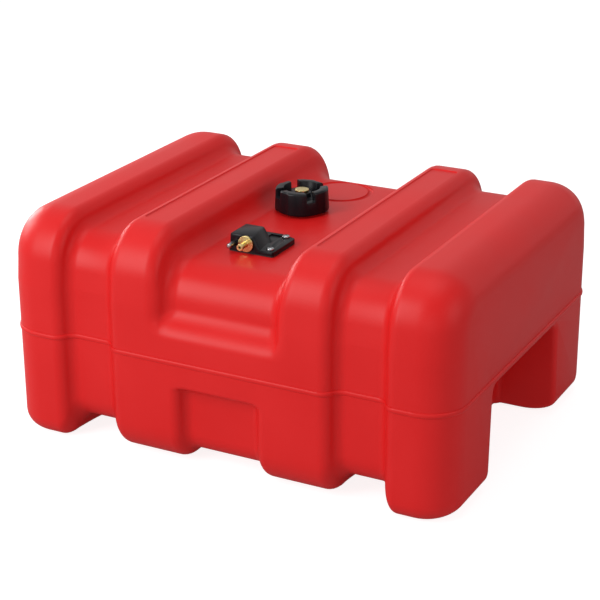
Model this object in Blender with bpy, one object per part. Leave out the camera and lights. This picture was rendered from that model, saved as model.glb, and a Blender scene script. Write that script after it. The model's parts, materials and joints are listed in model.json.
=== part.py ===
"""Portable outboard fuel tank: a hollow moulded body with strap grooves, a vented screw cap and a fuel
outlet with its pickup tube. Metres, +Z up, -Y is the front, origin at the middle of the base."""

import math

import bmesh
import bpy
from mathutils import Matrix, Vector

# Tank body, overall
TANK_LENGTH = 0.600
TANK_WIDTH = 0.473
TANK_HEIGHT = 0.290
WALL = 0.005
PARTING_HEIGHT = 0.139
RIDGE_HEIGHT = 0.005
RIDGE_DEPTH = 0.0018
RIDGE_ROOT = 0.002

# Rounded edges of the body
TOP_RADIUS = 0.062
FOOT_RADIUS = 0.048
END_LOBE_FOOT_RADIUS = 0.025
END_PLAN_RADIUS = 0.047
END_TOP_RADIUS = 0.038
END_FOOT_RADIUS = 0.020
FACE_DRAFT = 0.003
FLANK_WIDTH = 0.029
TOP_FLANK_ANGLE = math.radians(80.0)
FACE_FLANK_ANGLE = math.radians(62.0)

# Strap grooves between the centre lobe and the two end lobes
CENTRE_LOBE_WIDTH = 0.298
END_LOBE_WIDTH = 0.0825
GROOVE_TOP_DEPTH = 0.0245
GROOVE_FACE_DEPTH = 0.0180
GROOVE_FOOT_DEPTH = 0.023
GROOVE_TOP_RADIUS = 0.048
GROOVE_FOOT_RADIUS = 0.036

# Central recess for the cap and the outlet
RECESS_TOP_WIDTH = 0.162
RECESS_TOP_FLANK = 0.036
RECESS_TOP_DEPTH = 0.040
RECESS_FACE_WIDTH = 0.156
RECESS_FACE_DEPTH = 0.022
RECESS_FACE_FLANK = 0.036
RECESS_RADIUS = 0.046
LEDGE_ABOVE_PARTING = 0.028
LEDGE_RISE = 0.035
LEDGE_ANGLE = math.radians(20.0)

# Notch under the centre lobe, at the front and at the back
NOTCH_WIDTH = 0.105
NOTCH_FLANK = 0.025
NOTCH_FACE_DEPTH = 0.0165
NOTCH_FOOT_DEPTH = 0.014
NOTCH_RADIUS = 0.030
NOTCH_TOP_BELOW_PARTING = 0.042
NOTCH_TOP_RISE = 0.014
FOOT_LAND = 0.006
FOOT_RUN = 0.055

# Hand holds cut out under the two end lobes
HANDHOLD_WIDTH = 0.214
HANDHOLD_DEPTH = 0.076
HANDHOLD_BELOW_PARTING = 0.0095
HANDHOLD_CORNER = 0.014
HANDHOLD_FLANK = 0.014
HANDHOLD_EDGE_RADIUS = 0.006
LEG_EDGE_RADIUS = 0.008
LEG_DRAFT = 0.004

# Debossed circle behind the cap, where a gauge may be fitted
GAUGE_X = -0.019
GAUGE_Y = 0.134
GAUGE_RADIUS = 0.036
GAUGE_LINE = 0.0016
GAUGE_LINE_DEPTH = 0.0008

# Filler neck and cap
CAP_X = -0.0288
CAP_Y = 0.042
NECK_RADIUS = 0.0275
NECK_BORE = 0.0225
CAP_STAND = 0.0026
CAP_RADIUS = 0.0350
CAP_LOW_RADIUS = 0.0335
CAP_HEIGHT = 0.0294
CAP_DRAFT = 0.0012
CAP_FOOT_CHAMFER = 0.0018
CAP_RIM_ROUNDING = 0.0024
CAP_RIM_STEPS = 3
CAP_SKIRT_BORE = 0.0292
CAP_LID_BELOW = 0.0140
CAP_LID_TOP = 0.0179
CAP_RIM_INNER = 0.0237
CAP_RIM_FOOT = 0.0227
CAP_HUB_RADIUS = 0.0133
CAP_HUB_TOP = 0.0234
CAP_BOSS_RADIUS = 0.0070
CAP_BOSS_DROP = 0.0020
CAP_SLOT_WIDTH = 0.0118
CAP_SLOT_COUNT = 4
CAP_SLOT_TURN = math.radians(48.3)
CAP_STEP_TURN = math.radians(38.0)
CAP_STEP_BLEND = math.radians(4.0)
CAP_SLOT_BLEND = math.radians(8.0)
GASKET_HEIGHT = 0.0022

# Vent screw in the middle of the cap
VENT_HEAD_RADIUS = 0.0090
VENT_HEAD_HEIGHT = 0.0030
VENT_HEAD_CHAMFER = 0.0005
VENT_SHANK_RADIUS = 0.0030
VENT_BORE = 0.0033
VENT_GROOVE_RADIUS = 0.0020
VENT_GROOVE_HEIGHT = 0.0016
VENT_TIP = 0.0010
VENT_TRAVEL_ROOM = 0.0030
VENT_SEAL_RADIUS = 0.0052
VENT_SEAL_HEIGHT = 0.0016
VENT_CLIP_RADIUS = 0.0052

# Fuel outlet: flange, block, connector and guide pin
OUTLET_LEFT = -0.038
OUTLET_FRONT = -0.130
FLANGE_WIDTH = 0.060
FLANGE_DEPTH = 0.064
FLANGE_THICKNESS = 0.005
FLANGE_CORNER = 0.002
FLANGE_SLANT_WIDTH = 0.021
FLANGE_SLANT_DEPTH = 0.007
FLANGE_GASKET = 0.0012
POCKET_LEFT = 0.0260
POCKET_RIGHT = 0.0422
POCKET_FRONT = 0.0290
POCKET_BEHIND = 0.0050
POCKET_DEPTH = 0.0020
BLOCK_HEIGHT = 0.0212
BLOCK_TOP_WIDTH = 0.0325
BLOCK_TOP_DEPTH = 0.040
BLOCK_FOOT_WIDTH = 0.045
BLOCK_FOOT_DEPTH = 0.042
BLOCK_LEFT_DRAFT = 0.001
BLOCK_BACK_TAPER = 0.0070
BLOCK_BEVEL = 0.0026
NIPPLE_FROM_LEFT = 0.0232
NIPPLE_ABOVE_FLANGE = 0.0055
DISC_RADIUS = 0.0101
DISC_THICKNESS = 0.0030
DISC_SEAT_DEPTH = 0.0012
NIPPLE_RADIUS = 0.0036
NIPPLE_LENGTH = 0.0140
NIPPLE_END_RADIUS = 0.0043
NIPPLE_END_LENGTH = 0.0032
NIPPLE_BORE = 0.0015
NIPPLE_GROOVE = 0.0006
SHANK_RADIUS = 0.0060
SHANK_LENGTH = 0.0150
SHANK_SEAL_WIDTH = 0.0020
SHANK_SEAL_DEPTH = 0.0014
PIN_FROM_LEFT = 0.0068
PIN_BELOW_NIPPLE = 0.0014
PIN_RADIUS = 0.0031
PIN_OUTSIDE = 0.0145
PIN_INSIDE = 0.0120

# Pickup under the outlet
SPIGOT_BEHIND_FRONT = 0.026
SPIGOT_RADIUS = 0.0050
SPIGOT_BORE = 0.0032
SPIGOT_LENGTH = 0.0220
COLLAR_RADIUS = 0.0125
COLLAR_DEPTH = 0.0090
TUBE_WALL = 0.0012
TUBE_ABOVE_BASE = 0.030
STRAINER_RADIUS = 0.0110
STRAINER_HEIGHT = 0.026
STRAINER_WALL = 0.0015
STRAINER_SLOTS = 8
STRAINER_SLOT_WIDTH = 0.0050
STRAINER_SLOT_HEIGHT = 0.0130
STRAINER_SLEEVE_GRIP = 0.0080
SCREEN_WALL = 0.0006

# Flange screws and their inserts
SCREW_RADIUS = 0.0022
SCREW_LENGTH = 0.0140
SCREW_HEAD_RADIUS = 0.0047
SCREW_HEAD_HEIGHT = 0.0030
SCREW_EDGE = 0.0082
SCREW_BACK_INSET = 0.0040
INSERT_RADIUS = 0.0040
INSERT_HEIGHT = 0.0100
BOSS_RADIUS = 0.0080
BOSS_DEPTH = 0.0160

# Fits and helpers
CLEARANCE = 0.0003
OVERRUN = 0.002
ROOT_OVERLAP = 0.002
FLAT_ANGLE = math.radians(0.4)
STATION_GAP = 0.0012
WELD = 0.000001
ROUND_PROFILE = 0.5
ROUND_STEPS = 32
SMALL_STEPS = 20

# Sizes that follow from those above
GROOVE_MIDDLE = (CENTRE_LOBE_WIDTH / 2 + TANK_LENGTH / 2 - END_LOBE_WIDTH) / 2
FLOOR = TANK_HEIGHT - RECESS_TOP_DEPTH
CAP_BASE = FLOOR + CAP_STAND
LID_BELOW = CAP_BASE + CAP_LID_BELOW
LID_TOP = CAP_BASE + CAP_LID_TOP
CAP_TOP = CAP_BASE + CAP_HEIGHT
HUB_TOP = CAP_BASE + CAP_HUB_TOP
NECK_TOP = LID_BELOW - GASKET_HEIGHT - CLEARANCE - CLEARANCE
FLANGE_BASE = FLOOR + FLANGE_GASKET + CLEARANCE + CLEARANCE
FLANGE_TOP = FLANGE_BASE + FLANGE_THICKNESS
NIPPLE_X = OUTLET_LEFT + NIPPLE_FROM_LEFT
NIPPLE_Z = FLANGE_TOP + NIPPLE_ABOVE_FLANGE
PIN_X = OUTLET_LEFT + PIN_FROM_LEFT
PIN_Z = NIPPLE_Z - PIN_BELOW_NIPPLE
SPIGOT_Y = OUTLET_FRONT + SPIGOT_BEHIND_FRONT
TUBE_BORE = SPIGOT_RADIUS + CLEARANCE
TUBE_RADIUS = TUBE_BORE + TUBE_WALL
SCREW_PLACES = {
    "front": (OUTLET_LEFT + FLANGE_WIDTH - SCREW_EDGE, OUTLET_FRONT + SCREW_EDGE),
    "back": (
        OUTLET_LEFT + FLANGE_WIDTH - SCREW_EDGE - SCREW_BACK_INSET,
        OUTLET_FRONT + FLANGE_DEPTH - SCREW_EDGE,
    ),
    "left": (OUTLET_LEFT + SCREW_EDGE, OUTLET_FRONT + FLANGE_DEPTH - SCREW_EDGE),
}


# Materials


def make_material(name, colour, roughness, metallic=0.0):
    material = bpy.data.materials.new(name)
    material.use_nodes = True
    shader = material.node_tree.nodes["Principled BSDF"]
    shader.inputs["Base Color"].default_value = (*colour, 1.0)
    shader.inputs["Roughness"].default_value = roughness
    shader.inputs["Metallic"].default_value = metallic
    return material


# Mesh helpers


def finish(name, bm, material, smooth_angle=35.0):
    """Turns a bmesh into a named object, shaded smooth but for its sharp edges."""
    mesh = bpy.data.meshes.new(name)
    bm.to_mesh(mesh)
    bm.free()
    mesh.shade_smooth()
    mesh.set_sharp_from_angle(angle=math.radians(smooth_angle))
    mesh.materials.append(material)
    obj = bpy.data.objects.new(name, mesh)
    bpy.context.scene.collection.objects.link(obj)
    return obj


def helper(name, bm):
    """A cutter or an addition: it shapes another object and isn't a piece itself."""
    mesh = bpy.data.meshes.new(name)
    bm.to_mesh(mesh)
    bm.free()
    obj = bpy.data.objects.new(name, mesh)
    obj.hide_render = True
    obj.display_type = "WIRE"
    bpy.context.scene.collection.objects.link(obj)
    return obj


def combine(target, other, operation):
    modifier = target.modifiers.new(other.name, "BOOLEAN")
    modifier.operation = operation
    modifier.object = other


def join(*parts):
    """One bmesh that holds several separate closed shapes."""
    whole = bmesh.new()
    for part in parts:
        mesh = bpy.data.meshes.new("part")
        part.to_mesh(mesh)
        part.free()
        whole.from_mesh(mesh)
        bpy.data.meshes.remove(mesh)
    return whole


def turned(profile, place=(0.0, 0.0), steps=ROUND_STEPS):
    """Solid of revolution about a vertical axis: profile is a closed outline of (radius, height)."""
    bm = bmesh.new()
    points = [bm.verts.new((radius, 0.0, height)) for radius, height in profile]
    edges = [bm.edges.new((points[i - 1], points[i])) for i in range(len(points))]
    bmesh.ops.spin(
        bm, geom=points + edges, axis=(0.0, 0.0, 1.0), cent=(0.0, 0.0, 0.0),
        angle=math.tau, steps=steps, use_merge=True,
    )
    bmesh.ops.remove_doubles(bm, verts=bm.verts, dist=WELD)
    axis_edges = [edge for edge in bm.edges if not edge.link_faces]
    bmesh.ops.delete(bm, geom=axis_edges, context="EDGES")
    bmesh.ops.dissolve_verts(bm, verts=[vert for vert in bm.verts if vert.co.xy.length < WELD])
    bmesh.ops.recalc_face_normals(bm, faces=bm.faces)
    bmesh.ops.translate(bm, verts=bm.verts, vec=(*place, 0.0))
    return bm


def rod(radius, low, high, place, steps=SMALL_STEPS):
    return turned([(0.0, low), (radius, low), (radius, high), (0.0, high)], place, steps)


def along_y(bm, place):
    """Lays a shape that was turned about +Z down, so that its +Z points to the front."""
    bmesh.ops.rotate(bm, verts=bm.verts, matrix=Matrix.Rotation(math.pi / 2, 3, "X"))
    bmesh.ops.translate(bm, verts=bm.verts, vec=place)
    return bm


def loft(rings):
    """Closed skin through rings of equally many points, with a flat face at each end."""
    bm = bmesh.new()
    rows = [[bm.verts.new(point) for point in ring] for ring in rings]
    for low, high in zip(rows, rows[1:]):
        for i in range(len(low)):
            bm.faces.new((low[i - 1], low[i], high[i], high[i - 1]))
    bm.faces.new(rows[0])
    bm.faces.new(rows[-1])
    bmesh.ops.recalc_face_normals(bm, faces=bm.faces)
    return bm


def prism(outline, low, high):
    return loft([[(x, y, z) for x, y in outline] for z in (low, high)])


# Cross-sections of the tank body


def s_curve(share, angle):
    """Rounded slope from 0 to 1: two equal arcs, each of this angle, that meet halfway."""
    share = min(max(share, 0.0), 1.0)
    if share > 0.5:
        return 1.0 - s_curve(1.0 - share, angle)
    turn = math.asin(2.0 * share * math.sin(angle))
    return (1.0 - math.cos(turn)) / (2.0 * (1.0 - math.cos(angle)))


def s_curve_shares(steps):
    """Places along an s_curve, evenly spaced in angle, where its arcs are sampled."""
    angle = TOP_FLANK_ANGLE
    half = [math.sin(angle * step / steps) / (2.0 * math.sin(angle)) for step in range(steps + 1)]
    return half + [1.0 - share for share in reversed(half[:-1])]


def flank(away, middle, width, angle):
    return s_curve((away - middle) / width + 0.5, angle)


def end_rounding(away, end, radius):
    """Share of an end radius that the wall has drawn in at this distance from the middle."""
    past = min(max((away - end + radius) / radius, 0.0), 1.0)
    return 1.0 - math.sqrt(max(1.0 - past * past, 0.0))


def groove_share(away, inset, angle):
    inner = CENTRE_LOBE_WIDTH / 2 - inset
    outer = TANK_LENGTH / 2 - END_LOBE_WIDTH + inset
    return flank(away, inner, FLANK_WIDTH, angle) * (1.0 - flank(away, outer, FLANK_WIDTH, angle))


def recess_top_share(away, inset):
    return 1.0 - flank(away, RECESS_TOP_WIDTH / 2 + inset, RECESS_TOP_FLANK, TOP_FLANK_ANGLE)


def recess_face_share(away, inset):
    return 1.0 - flank(away, RECESS_FACE_WIDTH / 2 + inset, RECESS_FACE_FLANK, FACE_FLANK_ANGLE)


def notch_share(away, inset):
    return 1.0 - flank(away, NOTCH_WIDTH / 2 + inset, NOTCH_FLANK, FACE_FLANK_ANGLE)


def handhold_share(away, inset):
    return flank(away, TANK_LENGTH / 2 - HANDHOLD_DEPTH - inset, HANDHOLD_FLANK, TOP_FLANK_ANGLE)


def stations(inset, steps):
    """Distances from the middle, along the length, at which the body's section is drawn."""
    end = TANK_LENGTH / 2 - inset
    flanks = (
        (CENTRE_LOBE_WIDTH / 2 - inset, FLANK_WIDTH, steps),
        (TANK_LENGTH / 2 - END_LOBE_WIDTH + inset, FLANK_WIDTH, steps),
        (RECESS_TOP_WIDTH / 2 + inset, RECESS_TOP_FLANK, steps),
        (RECESS_FACE_WIDTH / 2 + inset, RECESS_FACE_FLANK, steps),
        (NOTCH_WIDTH / 2 + inset, NOTCH_FLANK, steps - 1),
        (TANK_LENGTH / 2 - HANDHOLD_DEPTH - inset, HANDHOLD_FLANK, steps - 1),
    )
    places = {0.0}
    for middle, width, count in flanks:
        places |= {middle + width * (share - 0.5) for share in s_curve_shares(count)}
    radius = END_PLAN_RADIUS - inset
    turns = [math.pi / 2 * step / (2 * steps) for step in range(2 * steps + 1)]
    places |= {end - radius + radius * math.sin(turn) for turn in turns}
    kept = []
    for place in sorted(places):
        if not kept or place - kept[-1] > STATION_GAP:
            kept.append(place)
    kept[-1] = end
    return [-place for place in reversed(kept[1:])] + kept


def arc(centre, radius, start, stop, steps):
    """Points of an arc in (outward, height), from start to stop in radians, both ends included."""
    turns = [start + (stop - start) * step / steps for step in range(steps + 1)]
    return [(centre[0] + radius * math.cos(turn), centre[1] + radius * math.sin(turn)) for turn in turns]


def half_section(x, inset, steps):
    """Outline of one half of the body at x, from the middle of the base out and up to the middle of the top.
    inset moves every wall inwards."""
    away = abs(x)
    groove = groove_share(away, inset, TOP_FLANK_ANGLE)
    face_groove = groove_share(away, inset, FACE_FLANK_ANGLE)
    recess = recess_top_share(away, inset)
    face_recess = recess_face_share(away, inset)
    notch = notch_share(away, inset)
    handhold = handhold_share(away, inset)
    end = TANK_LENGTH / 2 - inset
    plan = END_PLAN_RADIUS - inset
    drawn_in = end_rounding(away, end, plan)
    edge = end_rounding(away, end, HANDHOLD_EDGE_RADIUS)

    belt = TANK_WIDTH / 2 - inset - GROOVE_FACE_DEPTH * face_groove - plan * drawn_in
    upper = belt - RECESS_FACE_DEPTH * face_recess
    lower = belt - NOTCH_FACE_DEPTH * notch
    top_drop = (END_TOP_RADIUS - inset) * drawn_in
    foot_rise = (END_FOOT_RADIUS - inset) * drawn_in
    top = TANK_HEIGHT - inset - GROOVE_TOP_DEPTH * groove - RECESS_TOP_DEPTH * recess - top_drop
    base = inset + foot_rise
    foot = base + GROOVE_FOOT_DEPTH * groove + NOTCH_FOOT_DEPTH * notch
    top_radius = (
        TOP_RADIUS - (TOP_RADIUS - GROOVE_TOP_RADIUS) * groove - (TOP_RADIUS - RECESS_RADIUS) * recess
        - inset - top_drop
    )
    lobe_foot = FOOT_RADIUS if away < GROOVE_MIDDLE else END_LOBE_FOOT_RADIUS
    foot_radius = (
        lobe_foot - (lobe_foot - GROOVE_FOOT_RADIUS) * groove - (lobe_foot - NOTCH_RADIUS) * notch
        - inset - foot_rise
    )

    # Arch of the hand hold: flat under the middle of the tank, open under the end lobes
    jamb = HANDHOLD_WIDTH / 2 + inset + HANDHOLD_EDGE_RADIUS * edge
    ceiling = PARTING_HEIGHT - HANDHOLD_BELOW_PARTING + inset + HANDHOLD_EDGE_RADIUS * edge
    sole = jamb + LEG_DRAFT
    arch = arc((jamb - HANDHOLD_CORNER, ceiling - HANDHOLD_CORNER), HANDHOLD_CORNER, math.pi / 2, 0.0, steps)
    edge_centre = (sole + LEG_EDGE_RADIUS, base + LEG_EDGE_RADIUS)
    arch += arc(edge_centre, LEG_EDGE_RADIUS, math.pi, 1.5 * math.pi, steps)
    arch = [(out, base + (height - base) * handhold) for out, height in arch]
    points = [(0.0, base + (ceiling - base) * handhold)] + arch

    # Foot, with the run-in of a groove or a notch
    arc_start = lower - foot_radius
    run_start = max(arc_start - FOOT_LAND - FOOT_RUN, sole + LEG_EDGE_RADIUS + FOOT_LAND)
    points += [(run_start, base), (arc_start - FOOT_LAND, foot)]
    points += arc((arc_start, foot + foot_radius), foot_radius, -math.pi / 2, 0.0, steps + 1)

    # Wall: top of the notch, belt, ledge under the recess
    notch_base = PARTING_HEIGHT - NOTCH_TOP_BELOW_PARTING
    ledge_base = PARTING_HEIGHT + LEDGE_ABOVE_PARTING
    for share in s_curve_shares(steps - 1):
        out = lower + (belt - lower) * s_curve(share, FACE_FLANK_ANGLE)
        points.append((out, notch_base + NOTCH_TOP_RISE * share))
    for share in s_curve_shares(steps - 1):
        out = belt - (belt - upper) * s_curve(share, LEDGE_ANGLE)
        points.append((out, ledge_base + LEDGE_RISE * share))

    # Top edge
    shoulder = upper - FACE_DRAFT * (1.0 - recess) - top_radius
    points += arc((shoulder, top - top_radius), top_radius, 0.0, math.pi / 2, steps + 2)
    return points + [(0.0, top)]


def section(x, inset, steps):
    """Closed ring of the body's outline at x."""
    half = half_section(x, inset, steps)
    front = [(x, -out, height) for out, height in half]
    back = [(x, out, height) for out, height in reversed(half[1:-1])]
    return front + back


def body_skin(inset, steps):
    bm = loft([section(x, inset, steps) for x in stations(inset, steps)])
    bmesh.ops.dissolve_limit(bm, angle_limit=FLAT_ANGLE, verts=bm.verts, edges=bm.edges)
    return bm


def belt_outline(outward, steps):
    """Plan of the body at its parting line, moved outward."""
    front = []
    for x in stations(0.0, steps):
        away = abs(x)
        drawn_in = end_rounding(away, TANK_LENGTH / 2, END_PLAN_RADIUS)
        groove = groove_share(away, 0.0, FACE_FLANK_ANGLE)
        half = TANK_WIDTH / 2 - GROOVE_FACE_DEPTH * groove - END_PLAN_RADIUS * drawn_in
        front.append(Vector((x, -half)))
    corners = front + [Vector((point.x, -point.y)) for point in reversed(front)]
    moved = []
    for i, point in enumerate(corners):
        before = (point - corners[i - 1]).normalized()
        after = (corners[(i + 1) % len(corners)] - point).normalized()
        normals = [Vector((edge.y, -edge.x)) for edge in (before, after)]
        middle = normals[0] + normals[1]
        moved.append(point + middle * (outward / max(middle.dot(normals[0]), 0.5)))
    return moved


# Tank


def parting_ridge(steps):
    """Ring that stands proud all round the body at the parting line of the mould."""
    low = PARTING_HEIGHT - RIDGE_HEIGHT / 2
    high = PARTING_HEIGHT + RIDGE_HEIGHT / 2
    chamfer = RIDGE_DEPTH / 2
    outer = belt_outline(RIDGE_DEPTH, steps)
    inner = belt_outline(-RIDGE_ROOT, steps)
    levels = (
        (inner, low), (outer, low + chamfer), (outer, high - chamfer), (inner, high),
    )
    bm = bmesh.new()
    rows = [[bm.verts.new((point.x, point.y, z)) for point in outline] for outline, z in levels]
    for i, row in enumerate(rows):
        above = rows[(i + 1) % len(rows)]
        for j in range(len(row)):
            bm.faces.new((row[j - 1], row[j], above[j], above[j - 1]))
    bmesh.ops.recalc_face_normals(bm, faces=bm.faces)
    return bm


def make_tank(material):
    outside = body_skin(0.0, 3)
    inside = body_skin(WALL, 2)
    bmesh.ops.reverse_faces(inside, faces=inside.faces)
    tank = finish("tank_shell", join(outside, inside), material)

    root = FLOOR - WALL / 2
    neck = rod(NECK_RADIUS, root, NECK_TOP, (CAP_X, CAP_Y), ROUND_STEPS)
    bosses = [
        rod(BOSS_RADIUS, FLOOR - BOSS_DEPTH, root, place) for place in SCREW_PLACES.values()
    ]
    combine(tank, helper("neck_and_bosses", join(neck, *bosses)), "UNION")
    combine(tank, helper("parting_ridge", parting_ridge(2)), "UNION")

    below = FLOOR - BOSS_DEPTH
    cuts = [
        rod(NECK_BORE, below, NECK_TOP + OVERRUN, (CAP_X, CAP_Y), ROUND_STEPS),
        rod(COLLAR_RADIUS + CLEARANCE, below, FLOOR + OVERRUN, (NIPPLE_X, SPIGOT_Y), ROUND_STEPS),
        turned(
            [
                (GAUGE_RADIUS, FLOOR - GAUGE_LINE_DEPTH),
                (GAUGE_RADIUS + GAUGE_LINE, FLOOR + GAUGE_LINE_DEPTH),
                (GAUGE_RADIUS - GAUGE_LINE, FLOOR + GAUGE_LINE_DEPTH),
            ],
            (GAUGE_X, GAUGE_Y), ROUND_STEPS,
        ),
    ]
    hole = INSERT_HEIGHT + CLEARANCE
    cuts += [
        rod(INSERT_RADIUS + CLEARANCE, FLOOR - hole, FLOOR + OVERRUN, place) for place in SCREW_PLACES.values()
    ]
    combine(tank, helper("tank_holes", join(*cuts)), "DIFFERENCE")
    return tank


# Cap


def cap_outline(change):
    """Plan of the cap's grip: after each slot the wall is low, then steps out. change adds to the radius."""
    span = math.tau / CAP_SLOT_COUNT
    turns = (
        (CAP_SLOT_BLEND, CAP_LOW_RADIUS), (CAP_STEP_TURN - CAP_STEP_BLEND, CAP_LOW_RADIUS),
        (CAP_STEP_TURN, CAP_RADIUS), (span - CAP_SLOT_BLEND, CAP_RADIUS),
    )
    points = []
    for slot in range(CAP_SLOT_COUNT):
        start = CAP_SLOT_TURN + span * slot
        for (turn, radius), (next_turn, next_radius) in zip(turns, turns[1:]):
            pieces = max(1, round((next_turn - turn) / CAP_SLOT_BLEND))
            for piece in range(pieces):
                share = piece / pieces
                angle = start + turn + (next_turn - turn) * share
                reach = radius + (next_radius - radius) * share + change
                points.append((CAP_X + reach * math.cos(angle), CAP_Y + reach * math.sin(angle)))
        angle = start + turns[-1][0]
        reach = CAP_RADIUS + change
        points.append((CAP_X + reach * math.cos(angle), CAP_Y + reach * math.sin(angle)))
    return points


def make_cap(material):
    crown = (-CAP_DRAFT - CAP_RIM_ROUNDING, CAP_TOP - CAP_RIM_ROUNDING)
    levels = [(-CAP_DRAFT, CAP_BASE), (0.0, CAP_BASE + CAP_FOOT_CHAMFER)]
    levels += arc(crown, CAP_RIM_ROUNDING, 0.0, math.pi / 2, CAP_RIM_STEPS)
    rings = [[(x, y, z) for x, y in cap_outline(change)] for change, z in levels]
    cap = finish("fill_cap", loft(rings), material)
    place = (CAP_X, CAP_Y)
    well = turned(
        [
            (CAP_HUB_RADIUS, LID_TOP), (CAP_RIM_FOOT, LID_TOP),
            (CAP_RIM_INNER, CAP_TOP + OVERRUN), (0.0, CAP_TOP + OVERRUN), (0.0, HUB_TOP),
            (CAP_HUB_RADIUS - CAP_DRAFT, HUB_TOP),
        ],
        place,
    )
    under = turned(
        [
            (0.0, LID_BELOW - CAP_BOSS_DROP), (CAP_BOSS_RADIUS, LID_BELOW - CAP_BOSS_DROP),
            (CAP_BOSS_RADIUS, LID_BELOW), (CAP_SKIRT_BORE, LID_BELOW),
            (CAP_SKIRT_BORE, CAP_BASE - OVERRUN), (0.0, CAP_BASE - OVERRUN),
        ],
        place,
    )
    bore = turned(
        [
            (0.0, CAP_BASE - OVERRUN), (VENT_BORE, CAP_BASE - OVERRUN),
            (VENT_BORE, HUB_TOP - VENT_SEAL_HEIGHT), (VENT_SEAL_RADIUS + CLEARANCE, HUB_TOP - VENT_SEAL_HEIGHT),
            (VENT_SEAL_RADIUS + CLEARANCE, HUB_TOP + OVERRUN), (0.0, HUB_TOP + OVERRUN),
        ],
        place, SMALL_STEPS,
    )
    reach = CAP_RADIUS + OVERRUN
    inner = CAP_RIM_FOOT - OVERRUN
    for slot in range(CAP_SLOT_COUNT):
        angle = CAP_SLOT_TURN + math.tau * slot / CAP_SLOT_COUNT
        turn = Matrix.Translation((CAP_X, CAP_Y, 0.0)) @ Matrix.Rotation(angle, 4, "Z")
        half = CAP_SLOT_WIDTH / 2
        outline = [turn @ Vector((out, aside, 0.0)) for out, aside in (
            (inner, -half), (reach, -half), (reach, half), (inner, half),
        )]
        box = prism([(point.x, point.y) for point in outline], LID_TOP, CAP_TOP + OVERRUN)
        combine(cap, helper(f"cap_slot_{slot + 1}", box), "DIFFERENCE")
    combine(cap, helper("cap_well", well), "DIFFERENCE")
    combine(cap, helper("cap_underside", under), "DIFFERENCE")
    combine(cap, helper("cap_bore", bore), "DIFFERENCE")
    return cap


def make_cap_gasket(material):
    low = NECK_TOP + CLEARANCE
    high = low + GASKET_HEIGHT
    outer = CAP_SKIRT_BORE - CLEARANCE
    return finish(
        "cap_gasket",
        turned([(NECK_BORE, low), (outer, low), (outer, high), (NECK_BORE, high)], (CAP_X, CAP_Y)),
        material,
    )


def make_vent(brass, rubber, steel):
    place = (CAP_X, CAP_Y)
    head = HUB_TOP + CLEARANCE
    top = head + VENT_HEAD_HEIGHT
    clip = LID_BELOW - CAP_BOSS_DROP - VENT_TRAVEL_ROOM
    groove_low = clip - VENT_GROOVE_HEIGHT
    tip = groove_low - VENT_TIP
    screw = turned(
        [
            (0.0, tip), (VENT_SHANK_RADIUS, tip), (VENT_SHANK_RADIUS, groove_low),
            (VENT_GROOVE_RADIUS, groove_low), (VENT_GROOVE_RADIUS, clip), (VENT_SHANK_RADIUS, clip),
            (VENT_SHANK_RADIUS, head), (VENT_HEAD_RADIUS, head), (VENT_HEAD_RADIUS, top - VENT_HEAD_CHAMFER),
            (VENT_HEAD_RADIUS - VENT_HEAD_CHAMFER, top), (0.0, top),
        ],
        place,
    )
    finish("vent_screw", screw, brass)
    seal_low = HUB_TOP - VENT_SEAL_HEIGHT + CLEARANCE
    seal_high = HUB_TOP
    seal = turned(
        [
            (VENT_BORE, seal_low), (VENT_SEAL_RADIUS, seal_low), (VENT_SEAL_RADIUS, seal_high),
            (VENT_BORE, seal_high),
        ],
        place, SMALL_STEPS,
    )
    finish("vent_seal", seal, rubber)
    inner = VENT_GROOVE_RADIUS + CLEARANCE
    low = groove_low + CLEARANCE
    high = clip - CLEARANCE
    edge = VENT_CLIP_RADIUS
    ring = turned([(inner, low), (edge, low), (edge, high), (inner, high)], place, SMALL_STEPS)
    finish("vent_clip", ring, steel)


# Outlet


def flange_outline():
    """Plan of the flange, whose back edge slants forward on the right."""
    right = OUTLET_LEFT + FLANGE_WIDTH
    back = OUTLET_FRONT + FLANGE_DEPTH
    slant = back - FLANGE_SLANT_DEPTH
    return [
        (OUTLET_LEFT, OUTLET_FRONT), (right - FLANGE_CORNER, OUTLET_FRONT),
        (right, OUTLET_FRONT + FLANGE_CORNER), (right, slant - FLANGE_CORNER), (right - FLANGE_CORNER, slant),
        (right - FLANGE_SLANT_WIDTH, back), (OUTLET_LEFT, back),
    ]


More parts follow.
